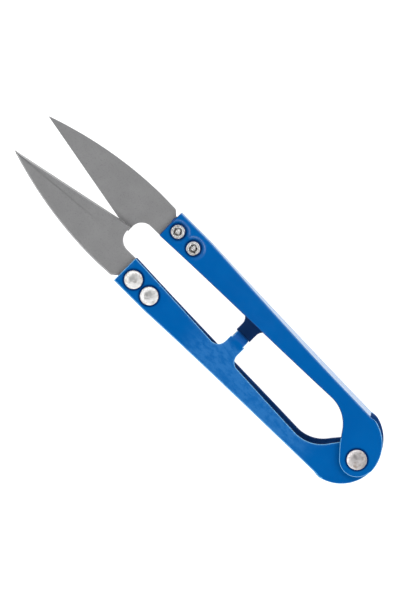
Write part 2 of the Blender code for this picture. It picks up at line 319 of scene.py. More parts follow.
def hook_pattern():
    """The tab's end and the hook as cut from the flat sheet, before the hook is bent down."""
    near, far = TAB_X - TAB_WIDTH / 2, TAB_X + TAB_WIDTH / 2
    left, right = TAB_X - HOOK_WIDTH / 2, TAB_X + HOOK_WIDTH / 2
    end_y = TAB_END_Y - math.pi / 2 * HOOK_RADIUS - (upper_z(TAB_X) - HOOK_RADIUS - HOOK_TIP_Z)
    shoulder = TAB_END_Y + 0.1
    points = rounded_corner((near, shoulder), (near, 3.0), (left, shoulder), 0.2)
    points.append((left, shoulder - 0.05))
    points += rounded_corner((left, end_y), (left, 0.0), (TAB_X, end_y), HOOK_CORNER)
    points += rounded_corner((right, end_y), (TAB_X, end_y), (right, 0.0), HOOK_CORNER)
    points.append((right, shoulder - 0.05))
    return points + rounded_corner((far, shoulder), (right, shoulder), (far, 3.0), 0.2)


def plate_outline(with_tab, reach):
    """One plate: the ear, round the pivot, along the window to the blade end, and back along the fold."""
    eye_end = math.degrees(math.acos(EYE_RADIUS / math.hypot(*CROTCH)) - math.atan2(CROTCH[1], CROTCH[0]))
    ear_start = math.degrees(math.acos((RUN_OUT_X - EAR_CENTRE_X) / EAR_RADIUS))
    stations = fold_stations()
    points = [(RUN_OUT_X, y) for y, _ in fold_profile(RUN_OUT_X)][:-1]
    points += arc((EAR_CENTRE_X, 0.0), EAR_RADIUS, ear_start, 178.0)
    points += arc((0.0, 0.0), EYE_RADIUS, 187.0, 360.0 - eye_end)
    points += window_edge(with_tab, reach)
    points.append((HANDLE_END_X, fold_y(HANDLE_END_X) - 0.3))
    head = densify(points + [(HANDLE_END_X, fold_y(HANDLE_END_X))])
    cut = next(i for i, p in enumerate(head) if p == (HANDLE_END_X, fold_y(HANDLE_END_X)))
    return head[:cut] + [(x, fold_y(x)) for x in reversed(stations[1:])]


# ---------------------------------------------------------------- triangulated sheets

def inside(points, loops):
    """Which points lie inside the loops, counting holes, as a mask."""
    crossings = np.zeros(len(points), int)
    for loop in loops:
        a = np.array(loop)
        b = np.roll(a, -1, axis=0)
        for (x0, y0), (x1, y1) in zip(a, b):
            if y0 == y1:
                continue
            spans = (points[:, 1] < max(y0, y1)) & (points[:, 1] >= min(y0, y1))
            hit_x = x0 + (points[:, 1] - y0) * (x1 - x0) / (y1 - y0)
            crossings += spans & (points[:, 0] < hit_x)
    return crossings % 2 == 1


def distance_to(points, targets):
    """Distance from each point to the nearest of the target points."""
    points, targets = np.asarray(points, float), np.asarray(targets, float)
    nearest = np.full(len(points), 1e9)
    for start in range(0, len(targets), 64):
        gap = points[:, None, :] - targets[None, start:start + 64, :]
        nearest = np.minimum(nearest, np.sqrt((gap ** 2).sum(2)).min(1))
    return nearest


def spread(loops, rim, spacing):
    """Evenly spread points between the loops, none close to the rim."""
    low, high = rim.min(0), rim.max(0)
    rows = []
    for row, y in enumerate(np.arange(low[1], high[1], spacing * 0.866)):
        shift = spacing / 2 if row % 2 else 0.0
        rows += [(x + shift, y) for x in np.arange(low[0], high[0], spacing)]
    grid = np.array(rows)
    grid = grid[inside(grid, loops)]
    return grid[distance_to(grid, rim) > spacing * 0.6]


def fill(loops, rivets):
    """Triangles inside the first loop and outside the others, finer round the rivets."""
    rim = np.array([p for loop in loops for p in loop])
    coarse = spread(loops, rim, GRID)
    fine = spread(loops, rim, FINE_GRID)
    coarse = coarse[distance_to(coarse, rivets) > FINE_RADIUS]
    fine = fine[distance_to(fine, rivets) <= FINE_RADIUS - GRID / 2]
    points = [Vector(p) for p in rim] + [Vector(p) for p in coarse] + [Vector(p) for p in fine]
    edges, base = [], 0
    for loop in loops:
        edges += [(base + i, base + (i + 1) % len(loop)) for i in range(len(loop))]
        base += len(loop)
    found = geometry.delaunay_2d_cdt(points, edges, [], 0, 1e-7)
    flat = np.array([(p.x, p.y) for p in found[0]])
    triangles = [tuple(face) for face in found[2]]
    middles = np.array([flat[list(t)].mean(0) for t in triangles])
    keep = inside(middles, loops)
    return flat, [t for t, kept in zip(triangles, keep) if kept]


def smooth_step(value):
    """0 below 0 and 1 above 1, with an even slope between."""
    value = np.clip(value, 0.0, 1.0)
    return value * value * (3.0 - 2.0 * value)


def fold_fade(flat):
    """0 along the fold, rising to 1 a little way off, so that the plates and the wall meet there."""
    along_fold = np.array([fold_y(x) - y for x, y in flat])
    return smooth_step(along_fold / FOLD_FADE)


def unevenness(flat, loops, rivets, clinched):
    """How far the pressing stands off its true plane, outwards positive."""
    edge = [p for p in loops[0] if p[1] < fold_y(p[0]) - 0.01 and p[0] > 4.0]
    near_edge = np.exp(-(distance_to(flat, edge) / EDGE_DROP_WIDTH) ** 2)
    drop = -EDGE_DROP["lower" if clinched else "upper"] * near_edge
    layer = 2.7 if clinched else 0.4
    wave = np.array([noise.noise(Vector((x / WAVE_SIZE[0], y / WAVE_SIZE[1], layer))) for x, y in flat])
    lift = drop + WAVE_HEIGHT * wave
    for x, y in rivets:
        away = np.hypot(flat[:, 0] - x, flat[:, 1] - y)
        if clinched:
            struck = 0.3 + 0.7 * smooth_step((flat[:, 1] - y) / away + 0.4)
            lift -= CLINCH_DEPTH * struck * smooth_step((CLINCH_RADIUS - away) / CLINCH_STEP)
        lift -= HEAD_SINK * smooth_step((HEAD_SINK_RADIUS - away) / HEAD_SINK_STEP)
    return lift * fold_fade(flat)


def bend_hook(x, y, z):
    """Bends what lies past the tab's end down into the hook."""
    run = TAB_END_Y - y
    if run <= 0.0 or abs(x - TAB_X) > TAB_WIDTH:
        return x, y, z
    turn = min(run / HOOK_RADIUS, math.pi / 2)
    beyond = max(run - HOOK_RADIUS * math.pi / 2, 0.0)
    return x, TAB_END_Y - HOOK_RADIUS * math.sin(turn), z - HOOK_RADIUS * (1 - math.cos(turn)) - beyond


def circle(x, y, radius):
    """A closed loop of points round a hole."""
    return arc((x, y), radius, 0.0, 360.0, 0.3)[:-1]


def plate(shape, rivets, reach, upper):
    """Adds one plate to a bmesh, with its rivet holes and its unevenness."""
    loops = [plate_outline(upper, reach), circle(0.0, 0.0, PIVOT_HOLE)]
    loops += [circle(x, y, RIVET_HOLE) for x, y in rivets]
    flat, triangles = fill(loops, rivets)
    lift = unevenness(flat, loops, rivets, clinched=not upper)
    verts = []
    for (x, y), off in zip(flat, lift):
        z = upper_z(x) + off if upper else lower_z(x) - off
        point = bend_hook(x, y, z) if upper else (x, y, z)
        verts.append(shape.verts.new(point))
    for triangle in triangles:
        shape.faces.new([verts[i] for i in (triangle if upper else reversed(triangle))])


def wall(shape):
    """Adds the outer wall and its two folds to a bmesh."""
    columns = []
    for x in fold_stations():
        top, bottom = upper_z(x), lower_z(x)
        upper = [(x, y, top - depth) for y, depth in fold_profile(x)]
        lower = [(x, y, bottom + depth) for y, depth in reversed(fold_profile(x))]
        middle = []
        for row in range(1, WALL_ROWS):
            share = row / WALL_ROWS
            middle.append((x, wall_y(x), upper[-1][2] * (1 - share) + lower[0][2] * share))
        columns.append([shape.verts.new(point) for point in upper + middle + lower])
    for one, two in zip(columns, columns[1:]):
        for row in range(len(one) - 1):
            in_wall = FOLD_STEPS <= row < FOLD_STEPS + WALL_ROWS
            if not in_wall or one[row].co.x > WALL_START_X - 0.01:
                shape.faces.new((one[row], two[row], two[row + 1], one[row + 1]))
    loose = [vert for vert in shape.verts if not vert.link_faces]
    bmesh.ops.delete(shape, geom=loose, context="VERTS")


def handle_mesh(rivets, reach):
    """One folded handle, of sheet with rounded cut edges."""
    skin = bmesh.new()
    plate(skin, rivets, 0.0, upper=True)
    plate(skin, rivets, reach, upper=False)
    wall(skin)
    bmesh.ops.remove_doubles(skin, verts=skin.verts, dist=0.01)
    mesh = thickened(skin)
    skin.free()
    return mesh


def rim_neighbours(skin):
    """For each vertex on a free edge, the vertices before and after it along that edge."""
    before, after = {}, {}
    for edge in skin.edges:
        if len(edge.link_faces) == 1:
            loop = edge.link_loops[0]
            start, end = loop.vert.index, loop.link_loop_next.vert.index
            after[start], before[end] = end, start
    return before, after


def rim_direction(here, behind, ahead, normal):
    """In the sheet's plane, straight out over the free edge, lengthened at corners."""
    one = (here - behind).cross(normal).normalized()
    two = (ahead - here).cross(normal).normalized()
    out = (one + two).normalized()
    return out / max(out.dot(one), 0.7)


def rim_profile(here, out, normal, thickness):
    """Rounded cut edge, from the outer face to the inner one."""
    points = []
    for depth, sign in ((RIM_ROUNDING, 1), (thickness - RIM_ROUNDING, -1)):
        centre = here - normal * depth - out * RIM_ROUNDING
        for step in range(RIM_STEPS + 1):
            angle = math.pi / 2 * (step if sign > 0 else RIM_STEPS - step) / RIM_STEPS
            points.append(centre + (out * math.sin(angle) + normal * sign * math.cos(angle)) * RIM_ROUNDING)
    return points


def sheet_at(point):
    """Thickness of the sheet behind a point of its outer skin: less inside a fold tighter than the sheet."""
    depth = min(upper_z(point.x) - point.z, point.z - lower_z(point.x))
    in_fold = point.y > fold_y(point.x) - 0.01 and depth < FOLD_RADIUS + 0.01
    return min(SHEET, FOLD_RADIUS) if in_fold and point.x > WALL_START_X - 0.01 else SHEET


def rim_kind(point, step):
    """Slot of a cut edge's face: a painted highlight on the outer rounding and the inside paint, a painted
    shade, on the rest.

    The lower plate past the ear has the inside paint, a painted shade, all over its edge.
    """
    # painted shade on the lower plate's cut edges
    dull = point.z < 0.0 and point.x > EAR_CENTRE_X + 1.0
    return RIM if step < RIM_STEPS and not dull else INSIDE


def skin_kind(face):
    """Slot of an outer face: matt paint over the hook, a little darker as painted shade, a painted highlight
    along the upper fold, else plain.
    """
    middle = face.calc_center_median()
    on_hook = middle.y < TAB_END_Y - 0.15 and abs(middle.x - TAB_X) < TAB_WIDTH / 2
    depth = upper_z(middle.x) - middle.z
    on_fold = middle.y > fold_y(middle.x) + 0.35 * FOLD_RADIUS and depth < 0.75 * FOLD_RADIUS
    if on_hook:
        return BEND
    return RIM if on_fold else OUTSIDE


def thickened(skin):
    """The skin as a closed sheet: outer faces, inner faces, and rounded rims between them."""
    skin.normal_update()
    skin.verts.index_update()
    count = len(skin.verts)
    outer = [vert.co.copy() for vert in skin.verts]
    normals = [vert.normal.copy() for vert in skin.verts]
    depths = [sheet_at(co) for co in outer]
    points = outer + [co - normal * depth for co, normal, depth in zip(outer, normals, depths)]
    before, after = rim_neighbours(skin)
    rings = {}
    for index in after:
        out = rim_direction(outer[index], outer[before[index]], outer[after[index]], normals[index])
        profile = rim_profile(outer[index], out, normals[index], depths[index])
        points[index], points[count + index] = profile[0], profile[-1]
        start = len(points)
        points += profile[1:-1]
        rings[index] = [index] + list(range(start, len(points))) + [count + index]
    faces = [[vert.index for vert in face.verts] for face in skin.faces]
    faces += [[count + index for index in reversed(face)] for face in faces]
    kinds = [skin_kind(face) for face in skin.faces] + [INSIDE] * len(skin.faces)
    for index, following in after.items():
        one, two = rings[index], rings[following]
        faces += [[two[k], one[k], one[k + 1], two[k + 1]] for k in range(len(one) - 1)]
        kinds += [rim_kind(outer[index], step) for step in range(len(one) - 1)]
    mesh = bpy.data.meshes.new("handle")
    mesh.from_pydata([tuple(point) for point in points], [], faces)
    mesh.polygons.foreach_set("material_index", kinds)
    merged = bmesh.new()
    merged.from_mesh(mesh)
    bmesh.ops.remove_doubles(merged, verts=merged.verts, dist=0.002)
    merged.to_mesh(mesh)
    merged.free()
    mesh.shade_smooth()
    return mesh


# ---------------------------------------------------------------- placing

def half_matrix(side):
    """From a half's own frame, in millimetres, to the row frame, in metres."""
    turn = Matrix.Rotation(math.pi if side == "right" else 0.0, 4, "X")
    return Matrix.Translation(PIVOT) @ turn @ Matrix.Diagonal((MM, MM, MM, 1.0))


def place(name, mesh, side, extra=None):
    """A piece of one half, riding on that half's body."""
    mesh = mesh.copy()
    mesh.transform(half_matrix(side) @ (extra or Matrix.Identity(4)))
    piece = bpy.data.objects.new(name, mesh)
    bpy.context.scene.collection.objects.link(piece)
    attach(piece, side + "_half")
    return piece


def finish_piece(piece, node, materials):
    """Gives a piece its materials and hides the CAD node that it replaces."""
    for material in materials:
        piece.data.materials.append(material)
    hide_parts(node)


def blade_turn(side):
    """The small turn in its own plane at which a half's blade is riveted on."""
    middle = Vector((*BLADE_CENTRE, 0.0))
    turn = Matrix.Rotation(math.radians(BLADE_SET[side]), 4, "Z")
    return Matrix.Translation(middle) @ turn @ Matrix.Translation(-middle)


# ---------------------------------------------------------------- blades

def edge_y(x):
    """The cutting edge, straight from heel to tip."""
    return HEEL[1] + (TIP[1] - HEEL[1]) * (x - HEEL[0]) / (TIP[0] - HEEL[0])


def blade_outline():
    """Plan of a blade from the tang round by the edge, with the kind of edge that starts at each point."""
    end_y = window_y(HANDLE_END_X)
    tang_y = end_y + TANG_INSET
    notch_centre = (HEEL[0] - NOTCH_RADIUS, tang_y - NOTCH_RADIUS)
    points = [((TANG_START_X, TANG_OUTER_Y), "plain")]
    points.append(((TANG_START_X, window_y(TANG_START_X) + TANG_SINK), "plain"))
    points.append(((HANDLE_END_X - 0.5, end_y + TANG_SINK), "plain"))
    points.append(((HANDLE_END_X, tang_y), "plain"))
    points += [(p, "plain") for p in arc(notch_centre, NOTCH_RADIUS, 90.0, 0.0, 0.25)]
    for x in spaced(HEEL[0], TIP[0], 0.8)[:-1]:
        points.append(((x, edge_y(x)), "edge"))
    for x in spaced(TIP[0], BACK_CREST[0], 0.8):
        points.append(((x, BACK_CREST[1] - BACK_CURVE * (x - BACK_CREST[0]) ** 2), "back"))
    points += [(p, "back") for p in rounded_corner(BACK_START, BACK_CREST, (SHOULDER_X, TANG_OUTER_Y), 0.4)]
    points.append(((SHOULDER_X, TANG_OUTER_Y), "plain"))
    return points


def inset(points, widths):
    """The outline drawn in, each edge by its own width; corners are where the moved edges meet."""
    moved = []
    count = len(points)
    for i in range(count):
        here = Vector(points[i])
        one = (here - Vector(points[i - 1])).normalized()
        two = (Vector(points[(i + 1) % count]) - here).normalized()
        before, after = widths[i - 1], widths[i]
        left_one, left_two = Vector((-one.y, one.x)), Vector((-two.y, two.x))
        cross = one.x * two.y - one.y * two.x
        if abs(cross) < 0.02:
            moved.append(tuple(here + left_two * (before + after) / 2))
            continue
        gap = (here + left_two * after) - (here + left_one * before)
        run = (gap.x * two.y - gap.y * two.x) / cross
        moved.append(tuple(here + left_one * before + one * run))
    return moved


def blade_mesh():
    """A blade flat on its shearing side, with a ground cutting bevel and a chamfered back on the other."""
    outline = blade_outline()
    points = [p for p, _ in outline]
    kinds = [kind for _, kind in outline]
    top = SHEAR_GAP + BLADE_THICKNESS
    width_of = {"edge": EDGE_BEVEL, "back": BACK_BEVEL, "plain": SMALL_BEVEL}
    drop_of = {"edge": BLADE_THICKNESS - EDGE_LAND, "back": BACK_BEVEL_DEPTH, "plain": SMALL_BEVEL}
    widths = [width_of[kind] for kind in kinds]
    drops = [max(drop_of[kind], drop_of[kinds[i - 1]]) for i, kind in enumerate(kinds)]
    inner = inset(points, widths)
    tip = kinds.index("back")
    shape = bmesh.new()
    low_in = [shape.verts.new((x, y, SHEAR_GAP)) for x, y in points]
    side = [shape.verts.new((x, y, top - drop)) for (x, y), drop in zip(points, drops)]
    high = [shape.verts.new((x, y, top)) for x, y in inner]
    side[tip].co.z = SHEAR_GAP + EDGE_LAND
    count = len(points)
    for i in range(count):
        j = (i + 1) % count
        shape.faces.new((low_in[i], low_in[j], side[j], side[i]))
        shape.faces.new((side[i], side[j], high[j], high[i]))
    shape.faces.new(high)
    shape.faces.new(list(reversed(low_in)))
    bmesh.ops.recalc_face_normals(shape, faces=shape.faces)
    bmesh.ops.triangulate(shape, faces=[f for f in shape.faces if len(f.verts) > 4])
    mesh = bpy.data.meshes.new("blade")
    shape.to_mesh(mesh)
    shape.free()
    mesh.shade_smooth()
    mesh.set_sharp_from_angle(angle=math.radians(GROUND_ANGLE))
    return mesh


# ---------------------------------------------------------------- rivets and spring

def lathe(profile, ripple):
    """A turned mesh from a profile of (radius, z), top to bottom; ripple moves each point by its angle."""
    shape = bmesh.new()
    rings = []
    for radius, z in profile:
        if radius == 0.0:
            rings.append([shape.verts.new((0.0, 0.0, z))])
            continue
        ring = []
        for step in range(RIVET_STEPS):
            angle = 2 * math.pi * step / RIVET_STEPS
            r, h = ripple(radius, z, angle)
            ring.append(shape.verts.new((r * math.cos(angle), r * math.sin(angle), h)))
        rings.append(ring)
    for one, two in zip(rings, rings[1:]):
        for step in range(RIVET_STEPS):
            after = (step + 1) % RIVET_STEPS
            if len(one) == 1:
                shape.faces.new((one[0], two[step], two[after]))
            elif len(two) == 1:
                shape.faces.new((one[step], two[0], one[after]))
            else:
                shape.faces.new((one[step], two[step], two[after], one[after]))
    bmesh.ops.recalc_face_normals(shape, faces=shape.faces)
    mesh = bpy.data.meshes.new("turned")
    shape.to_mesh(mesh)
    shape.free()
    mesh.shade_smooth()
    mesh.set_sharp_from_angle(angle=math.radians(SHARP_ANGLE))
    return mesh


def dome_profile(base, radius, height, rim):
    """Head from the top of its spherical crown to the underside of its rim."""
    crown = height - rim
    sphere = (radius * radius + crown * crown) / (2 * crown)
    reach = math.asin((radius - 0.08) / sphere)
    points = [(0.0, base + height)]
    for step in range(1, 15):
        angle = reach * step / 14
        points.append((sphere * math.sin(angle), base + height - sphere * (1 - math.cos(angle))))
    points += [(radius - 0.02, base + rim), (radius, base + rim * 0.6), (radius - 0.04, base + 0.06)]
    return points + [(radius - 0.2, base)]


def dents(seed, depth, head_radius):
    """A ripple that gives a struck head slight flats and dents, and a crown a little off centre."""
    def move(radius, z, angle):
        lean = CROWN_LEAN * radius * math.cos(angle) * (1 - (radius / head_radius) ** 2)
        spot = Vector((radius * math.cos(angle), radius * math.sin(angle), seed))
        soft = noise.noise(spot * 0.9) * depth
        fine = noise.noise(spot * 2.3 + Vector((4.0, 1.0, 0.0))) * depth * 0.35
        return radius, z + lean - 0.03 + (soft + fine) * min(radius, 1.0) * (1 - (radius / head_radius) ** 4)
    return move


def blade_rivet_mesh(seed):
    """Domed head, shank, and a tubular tail clinched into lobes round its open bore."""
    head = UPPER_AT_BLADE + HEAD_GAP
    tail = LOWER_AT_BLADE - HEAD_GAP
    end = tail - TAIL_LENGTH
    profile = dome_profile(head, **RIVET_HEAD)
    profile += [(RIVET_SHANK, head), (RIVET_SHANK, tail)]
    profile += [(1.4, tail + 0.02), (1.53, tail - 0.08), (1.57, tail - 0.22), (1.52, tail - 0.36)]
    profile += [(1.4, end + 0.04), (1.23, end), (1.08, end + 0.03), (0.96, end + 0.1)]
    profile += [(0.86, end + 0.24), (0.8, end + 0.45), (0.72, end + 0.6), (0.55, end + 0.5)]
    profile += [(0.4, end + 0.36), (0.2, end + 0.28), (0.0, end + 0.26)]
    head_dents = dents(seed, 0.07, RIVET_HEAD["radius"])
    below = tail + 0.01

    def ripple(radius, z, angle):
        if z > head:
            return head_dents(radius, z, angle)
        if z > below and radius > 1.0:
            return radius, z
        lobes = math.cos(4 * angle + seed + math.sin(angle + 2 * seed))
        split = max(0.0, lobes) ** 3 * (0.5 + 0.5 * math.cos(angle - seed))
        uneven = noise.noise(Vector((math.cos(angle) * 1.4, math.sin(angle) * 1.4, seed * 3.0)))
        if radius > TAIL_LIP:
            return radius * (1 - 0.05 * split + 0.03 * uneven), z + 0.05 * split + 0.04 * uneven
        if radius > BORE_EDGE:
            return radius * (1 + 0.2 * split + 0.2 * uneven), z + 0.1 * split + 0.15 * uneven
        return radius * (1 + 0.3 * uneven), z + 0.3 * uneven - 0.08
    mesh = lathe(profile, ripple)
    mark_tail(mesh, seed, tail)
    return mesh


def mark_tail(mesh, seed, tail):
    """Gives a clinched tail its worn plating, with painted shade in broken arcs round the bore."""
    for face in mesh.polygons:
        x, y, z = face.center
        if z >= tail + 0.3:
            continue
        radius = math.hypot(x, y)
        broken = 1.0
        if radius > 0.01:
            broken = noise.noise(Vector((x / radius * 1.3, y / radius * 1.3, seed * 5.0)))
        in_arc = 0.55 - 0.3 * broken < radius < 0.88 - 0.1 * broken
        face.material_index = BORE_SHADE if in_arc and broken < 0.06 else WORN


def pivot_rivet_mesh():
    """Rivet through the ears, with a low domed head and a formed head underneath."""
    head = HEAD_GAP - LOWER_AT_PIVOT
    tail = LOWER_AT_PIVOT - HEAD_GAP
    profile = dome_profile(head, **PIVOT_HEAD)
    profile += [(PIVOT_SHANK, head), (PIVOT_SHANK, tail)]
    profile += [(2.0, tail), (2.09, tail - 0.1), (2.09, tail - 0.25), (2.0, tail - 0.42)]
    profile += [(1.8, tail - 0.56), (1.5, tail - 0.63), (0.9, tail - 0.65), (0.0, tail - 0.65)]
    head_dents = dents(8.3, 0.06, PIVOT_HEAD["radius"])

    def ripple(radius, z, angle):
        return head_dents(radius, z, angle) if z > head else (radius, z)
    return lathe(profile, ripple)


def spring_points():
    """The wire's centre line: one leg, the coil, and the other leg."""
    start = math.radians(COIL_START_ANGLE)
    sweep = 2.0 * (math.pi - start) + 2.0 * math.pi * COIL_TURNS
    steps = STEPS_PER_TURN * COIL_TURNS
    coil = []
    for step in range(steps + 1):
        angle = start + sweep * step / steps
        height = COIL_HALF_HEIGHT * (1.0 - 2.0 * step / steps)
        coil.append((COIL_RADIUS * math.cos(angle), COIL_RADIUS * math.sin(angle), height))
    first = Vector((*LEG_END, COIL_HALF_HEIGHT))
    last = Vector((LEG_END[0], -LEG_END[1], -COIL_HALF_HEIGHT))
    leg_in = [tuple(first.lerp(Vector(coil[0]), i / LEG_STEPS)) for i in range(LEG_STEPS)]
    leg_out = [tuple(Vector(coil[-1]).lerp(last, i / LEG_STEPS)) for i in range(1, LEG_STEPS + 1)]
    return leg_in + coil + leg_out


def torsion_spring():
    """The wire as a mesh, coiled round the pivot between the two halves."""
    curve = bpy.data.curves.new("spring_wire", "CURVE")
    curve.dimensions = "3D"
    curve.bevel_depth = WIRE_RADIUS
    curve.bevel_resolution = 5
    curve.use_fill_caps = True
    spline = curve.splines.new("POLY")
    points = spring_points()
    spline.points.add(len(points) - 1)
    for point, co in zip(spline.points, points):
        point.co = (*co, 1.0)
    source = bpy.data.objects.new("spring_wire", curve)
    bpy.context.scene.collection.objects.link(source)
    bpy.context.view_layer.update()
    mesh = bpy.data.meshes.new_from_object(source.evaluated_get(bpy.context.evaluated_depsgraph_get()))
    bpy.data.objects.remove(source)
    shape = bmesh.new()
    shape.from_mesh(mesh)
    bmesh.ops.remove_doubles(shape, verts=shape.verts, dist=0.001)
    shape.to_mesh(mesh)
    shape.free()
    mesh.transform(half_matrix("left"))
    mesh.shade_smooth()
    mesh.set_sharp_from_angle(angle=math.radians(SHARP_ANGLE))
    spring = bpy.data.objects.new("wire_spring", mesh)
    bpy.context.scene.collection.objects.link(spring)
    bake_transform(spring)
    return spring


# ---------------------------------------------------------------- materials

def ramp(tree, source, low, high, out_low, out_high):
    """A smooth step of a value between two limits."""
    made = tree.nodes.new("ShaderNodeMapRange")
    made.interpolation_type = "SMOOTHSTEP"
    for key, value in (("From Min", low), ("From Max", high), ("To Min", out_low), ("To Max", out_high)):
        made.inputs[key].default_value = value
    tree.links.new(source, made.inputs["Value"])
    return made.outputs["Result"]


def combine(tree, operation, one, two):
    """A sum, product or maximum of two values, each a socket or a number."""
    made = tree.nodes.new("ShaderNodeMath")
    made.operation = operation
    for socket, value in zip(made.inputs, (one, two)):
        if isinstance(value, float):
            socket.default_value = value
        else:
            tree.links.new(value, socket)
    return made.outputs["Value"]


class Nodes:
    """Short calls for building one material's nodes."""

    def __init__(self, name):
        self.material = bpy.data.materials.new(name)
        self.material.use_nodes = True
        self.tree = self.material.node_tree
        self.shader = self.tree.nodes["Principled BSDF"]
        self.place = self.add("ShaderNodeTexCoord").outputs["Object"]

    def add(self, kind, **values):
        node = self.tree.nodes.new(kind)
        for key, value in values.items():
            setattr(node, key, value)
        return node

    def link(self, source, target):
        self.tree.links.new(source, target)

    def scaled(self, scale):
        mapping = self.add("ShaderNodeMapping")
        mapping.inputs["Scale"].default_value = scale
        self.link(self.place, mapping.inputs["Vector"])
        return mapping.outputs["Vector"]

    def noise(self, scale, detail=4.0, roughness=0.55, stretch=(1.0, 1.0, 1.0)):
        """Noise with its size in features per millimetre."""
        made = self.add("ShaderNodeTexNoise")
        made.inputs["Scale"].default_value = scale / MM
        made.inputs["Detail"].default_value = detail
        made.inputs["Roughness"].default_value = roughness
        self.link(self.scaled(stretch), made.inputs["Vector"])
        return made.outputs["Fac"]

    def math(self, operation, one, two):
        return combine(self.tree, operation, one, two)

    def part(self, vector, axis):
        """One coordinate of a vector."""
        split = self.add("ShaderNodeSeparateXYZ")
        self.link(vector, split.inputs["Vector"])
        return split.outputs[axis]

    def size(self, value):
        """A value without its sign."""
        made = self.add("ShaderNodeMath", operation="ABSOLUTE")
        self.link(value, made.inputs[0])
        return made.outputs["Value"]

    def painted_sheen(self, start, end):
        """Painted sheen: 1 between two places along the object, in millimetres from the pivot, broken up
        into mottles.
        """
        along = self.part(self.place, "X")
        fade = SHEEN_FADE * MM
        low, high = PIVOT.x + start * MM, PIVOT.x + end * MM
        rise = self.remap(along, low, low + fade, 0.0, 1.0)
        fall = self.remap(along, high - fade, high, 1.0, 0.0)
        mottle = self.remap(self.noise(0.9, 4.0, 0.65, (0.6, 1.0, 1.0)), 0.32, 0.68, 0.3, 1.25)
        stretch = self.math("MULTIPLY", rise, fall)
        return self.math("MULTIPLY", self.math("MULTIPLY", stretch, mottle), self.beyond(1.2, 2.4))

    def beyond(self, near, far):
        """0 near the object's middle plane and 1 away from it, fading between two distances."""
        apart = self.size(self.part(self.place, "Y"))
        return self.remap(apart, near * MM, far * MM, 0.0, 1.0)

    def upright(self):
        """Painted light: 1 on the walls, painted paler for the light that they catch, and 0 on the plates,
        from the direction of the surface and its place.
        """
        level = self.size(self.part(self.add("ShaderNodeTexCoord").outputs["Normal"], "Z"))
        steep = self.remap(level, 0.55, 0.98, 1.0, 0.0)
        return self.math("MULTIPLY", steep, self.beyond(5.0, 6.0))

    def rivet_shadow(self, side):
        """Painted shadow: 1 close round the rivet heads of one half and the pivot's, fading out over the
        paint.
        """
        flat = self.scaled((1.0, 1.0, 0.0))
        sign = 1.0 if side == "left" else -1.0
        places = [(0.0, 0.0, PIVOT_SHADOW_RADIUS)]
        places += [(x, sign * y, RIVET_SHADOW_RADIUS[side]) for x, y in RIVETS[side].values()]
        total = None
        for x, y, radius in places:
            apart = self.add("ShaderNodeVectorMath", operation="DISTANCE")
            apart.inputs[1].default_value = (PIVOT.x + x * MM, PIVOT.y + y * MM, 0.0)
            self.link(flat, apart.inputs[0])
            near, far = radius * MM, (radius + RIVET_SHADOW_FADE) * MM
            ring = self.remap(apart.outputs["Value"], near, far, 1.0, 0.0)
            total = ring if total is None else self.math("MAXIMUM", total, ring)
        return total

    def remap(self, source, low, high, out_low, out_high):
        return ramp(self.tree, source, low, high, out_low, out_high)

    def mix_colour(self, factor, one, two):
        made = self.add("ShaderNodeMix", data_type="RGBA")
        for socket, value in ((made.inputs[6], one), (made.inputs[7], two)):
            if isinstance(value, tuple):
                socket.default_value = (*value, 1.0)
            else:
                self.link(value, socket)
        self.link(factor, made.inputs[0])
        return made.outputs[2]

    def bump(self, heights):
        """Chains bumps of (height source, depth in millimetres)."""
        normal = None
        for height, depth in heights:
            made = self.add("ShaderNodeBump")
            made.inputs["Strength"].default_value = 1.0
            made.inputs["Distance"].default_value = depth * MM
            self.link(height, made.inputs["Height"])
            if normal is not None:
                self.link(normal, made.inputs["Normal"])
            normal = made.outputs["Normal"]
        self.link(normal, self.shader.inputs["Normal"])

    def set(self, **values):
        for key, value in values.items():
            self.shader.inputs[key.replace("_", " ")].default_value = value


def paint_material(name, deep, pale, roughness, peel, side=None, sheen=None, shine=0.5):
    """Sprayed enamel: small tone changes, orange peel, and specks of dust under the gloss.

    With a side, the paint is painted paler on the walls for the light that they catch, and darker close
    round that half's rivets as painted shadow. Given a sheen colour, a stretch is painted lighter in soft
    mottles, standing in for the reflection of a soft light.
    """
    nodes = Nodes(name)
    cloud = nodes.remap(nodes.noise(0.11, 3.0), 0.35, 0.7, 0.0, 1.0)
    colour = nodes.mix_colour(cloud, deep, pale)
    # painted light: the walls are paler, picked out by the surface's direction
    if side is not None:
        colour = nodes.mix_colour(nodes.upright(), colour, WALL_LIGHT_COLOUR)
    # painted sheen: a lighter colour over the middle stretch, standing in for a soft light's reflection
    if sheen is not None:
        colour = nodes.mix_colour(nodes.painted_sheen(SHEEN_START_X, SHEEN_END_X), colour, sheen)
    # painted shadow: dark rings round the rivet heads
    if side is not None:
        colour = nodes.mix_colour(nodes.rivet_shadow(side), colour, RIVET_SHADOW_COLOUR)
    nodes.link(colour, nodes.shader.inputs["Base Color"])
    gloss = nodes.remap(nodes.noise(0.9, 5.0), 0.3, 0.7, roughness * 0.8, roughness * 1.25)
    nodes.link(gloss, nodes.shader.inputs["Roughness"])
    speck = nodes.remap(nodes.noise(3.2, 2.0, 0.5), 0.68, 0.76, 0.0, 1.0)
    nodes.bump([(nodes.noise(0.75, 2.0, 0.4), peel), (speck, 0.006)])
    nodes.set(IOR=1.5, Specular_IOR_Level=shine)
    return nodes.material


